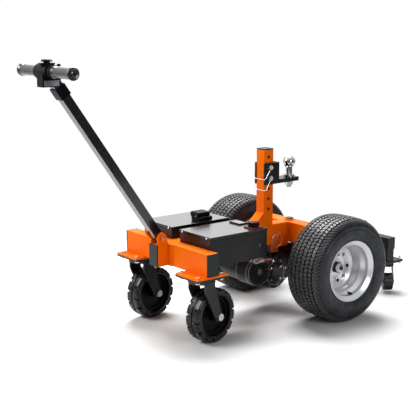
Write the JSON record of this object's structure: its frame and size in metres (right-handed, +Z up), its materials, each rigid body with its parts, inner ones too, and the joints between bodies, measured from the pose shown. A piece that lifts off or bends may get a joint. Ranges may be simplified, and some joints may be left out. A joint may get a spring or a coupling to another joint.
{
  "type": "walk-behind electric trailer tug",
  "caption": "Self-propelled electric dolly with drive wheels, swivel casters, a height-adjustable hitch ball on a drilled post and a walk-behind tiller.",
  "frame": {"origin": "on the floor under the middle of the drive axle, vertically below the hitch ball", "axes": "+X to the right-hand side, +Y away from the tiller, +Z up"},
  "size_m": [0.73, 1.5965, 1.02],
  "materials": {
    "orange_paint": "semi-gloss powder coat",
    "black_paint": "satin powder coat",
    "black_plastic": "moulded black plastic",
    "red_plastic": "moulded red plastic",
    "silver_paint": "pale silver coat",
    "zinc": "zinc plated",
    "chrome": "polished chrome",
    "copper_stud": "copper coloured stud",
    "grey_iron": "dark grey casting",
    "battery_case": "grey plastic case",
    "tyre_rubber": "black rubber",
    "grip_rubber": "soft black rubber",
    "pale_rubber": "dark grey rubber"
  },
  "bodies": {
    "chassis": {"spine_tube": "orange_paint", "front_beam": "orange_paint", "rear_beam": "orange_paint", "post": "orange_paint", "caster_pads": "orange_paint", "end_caps": "black_plastic", "handle_ears": "orange_paint", "handle_pivot": "zinc", "ball_bracket": "black_paint", "hitch_ball": "chrome", "ball_nut": "zinc", "battery_boxes": "black_paint", "battery_lid_left": "silver_paint", "battery_lid_right": "silver_paint", "batteries": "battery_case", "lid_screws": "zinc", "charge_block": "black_plastic", "charge_gauge": "black_plastic", "isolator_base": "red_plastic", "transaxle_case": "grey_iron", "motor_can": "black_paint", "motor_shield": "grey_iron", "motor_terminals": "copper_stud", "parking_brake": "black_paint", "axle_saddle": "orange_paint", "axle_straps": "zinc", "caster_plates": "black_paint", "plate_bolts": "zinc", "outrigger": "black_paint", "stabiliser_plates": "zinc"},
    "upper_pin": {"hitch_pin_upper": "zinc"},
    "lower_pin": {"hitch_pin_lower": "zinc"},
    "ring_pin": {"frame_pin": "zinc"},
    "isolator": {"isolator_knob": "black_plastic"},
    "tiller": {"tiller_tube": "black_paint", "tiller_head": "black_plastic", "handlebar": "zinc", "handgrips": "grip_rubber"},
    "throttle": {"throttle_lever": "black_plastic"},
    "stop": {"stop_button": "black_plastic"},
    "drive_wheel_left": {"tyre_left": "tyre_rubber", "rim_left": "silver_paint", "hub_left": "black_paint", "lug_nuts_left": "zinc"},
    "caster_swivel_left": {"caster_fork_left": "black_paint", "caster_axle_left": "zinc"},
    "caster_wheel_left": {"caster_hub_left": "black_plastic", "caster_tyre_left": "tyre_rubber"},
    "stabiliser_swivel_left": {"stabiliser_fork_left": "zinc"},
    "stabiliser_roller_left": {"stabiliser_wheel_left": "pale_rubber"},
    "drive_wheel_right": {"tyre_right": "tyre_rubber", "rim_right": "silver_paint", "hub_right": "black_paint", "lug_nuts_right": "zinc"},
    "caster_swivel_right": {"caster_fork_right": "black_paint", "caster_axle_right": "zinc"},
    "caster_wheel_right": {"caster_hub_right": "black_plastic", "caster_tyre_right": "tyre_rubber"},
    "stabiliser_swivel_right": {"stabiliser_fork_right": "zinc"},
    "stabiliser_roller_right": {"stabiliser_wheel_right": "pale_rubber"}
  },
  "joints": [
    {"name": "drive_spin_left", "type": "hinge", "parent": "chassis", "child": "drive_wheel_left", "pos_m": [-0.28, 0, 0.204], "axis": [1, 0, 0], "continuous": true},
    {"name": "caster_turn_left", "type": "hinge", "parent": "chassis", "child": "caster_swivel_left", "pos_m": [-0.19, -0.5915, 0.235], "axis": [0, 0, 1], "continuous": true},
    {"name": "caster_spin_left", "type": "hinge", "parent": "caster_swivel_left", "child": "caster_wheel_left", "pos_m": [-0.19704, -0.54705, 0.1], "axis": [0.9877, 0.1564, 0], "continuous": true},
    {"name": "stabiliser_turn_left", "type": "hinge", "parent": "chassis", "child": "stabiliser_swivel_left", "pos_m": [-0.145, 0.439, 0.114], "axis": [0, 0, 1], "continuous": true},
    {"name": "stabiliser_spin_left", "type": "hinge", "parent": "stabiliser_swivel_left", "child": "stabiliser_roller_left", "pos_m": [-0.1647, 0.42361, 0.047], "axis": [0.6157, -0.788, 0], "continuous": true},
    {"name": "drive_spin_right", "type": "hinge", "parent": "chassis", "child": "drive_wheel_right", "pos_m": [0.28, 0, 0.204], "axis": [1, 0, 0], "continuous": true},
    {"name": "caster_turn_right", "type": "hinge", "parent": "chassis", "child": "caster_swivel_right", "pos_m": [0.19, -0.5915, 0.235], "axis": [0, 0, 1], "continuous": true},
    {"name": "caster_spin_right", "type": "hinge", "parent": "caster_swivel_right", "child": "caster_wheel_right", "pos_m": [0.18296, -0.54705, 0.1], "axis": [0.9877, 0.1564, 0], "continuous": true},
    {"name": "stabiliser_turn_right", "type": "hinge", "parent": "chassis", "child": "stabiliser_swivel_right", "pos_m": [0.145, 0.439, 0.114], "axis": [0, 0, 1], "continuous": true},
    {"name": "stabiliser_spin_right", "type": "hinge", "parent": "stabiliser_swivel_right", "child": "stabiliser_roller_right", "pos_m": [0.1647, 0.42361, 0.047], "axis": [0.6157, 0.788, 0], "continuous": true},
    {"name": "tiller_tilt", "type": "hinge", "parent": "chassis", "child": "tiller", "pos_m": [0, -0.6445, 0.3675], "axis": [-1, 0, 0], "range_deg": [0, 45]},
    {"name": "throttle_turn", "type": "hinge", "parent": "tiller", "child": "throttle", "pos_m": [0.04, -1.07353, 0.98023], "axis": [-1, 0, 0], "range_deg": [0, 40], "stiffness_Nm_per_rad": 0.3, "springref_deg": -17.19},
    {"name": "stop_push", "type": "slide", "parent": "tiller", "child": "stop", "axis": [0, 0, -1], "range_m": [0, 0.004], "stiffness_N_per_m": 250, "springref_m": -0.004},
    {"name": "isolator_turn", "type": "hinge", "parent": "chassis", "child": "isolator", "pos_m": [0.175, -0.337, 0.4], "axis": [0, 0, 1], "range_deg": [0, 90]},
    {"name": "upper_pin_turn", "type": "hinge", "parent": "chassis", "child": "upper_pin", "pos_m": [0, -0.129, 0.5745], "axis": [-1, 0, 0], "range_deg": [0, 60]},
    {"name": "lower_pin_turn", "type": "hinge", "parent": "chassis", "child": "lower_pin", "pos_m": [0, -0.129, 0.533], "axis": [-1, 0, 0], "range_deg": [0, 38]},
    {"name": "ring_pin_turn", "type": "hinge", "parent": "chassis", "child": "ring_pin", "pos_m": [0, -0.089, 0.303], "axis": [-1, 0, 0], "range_deg": [-80, 80]}
  ]
}
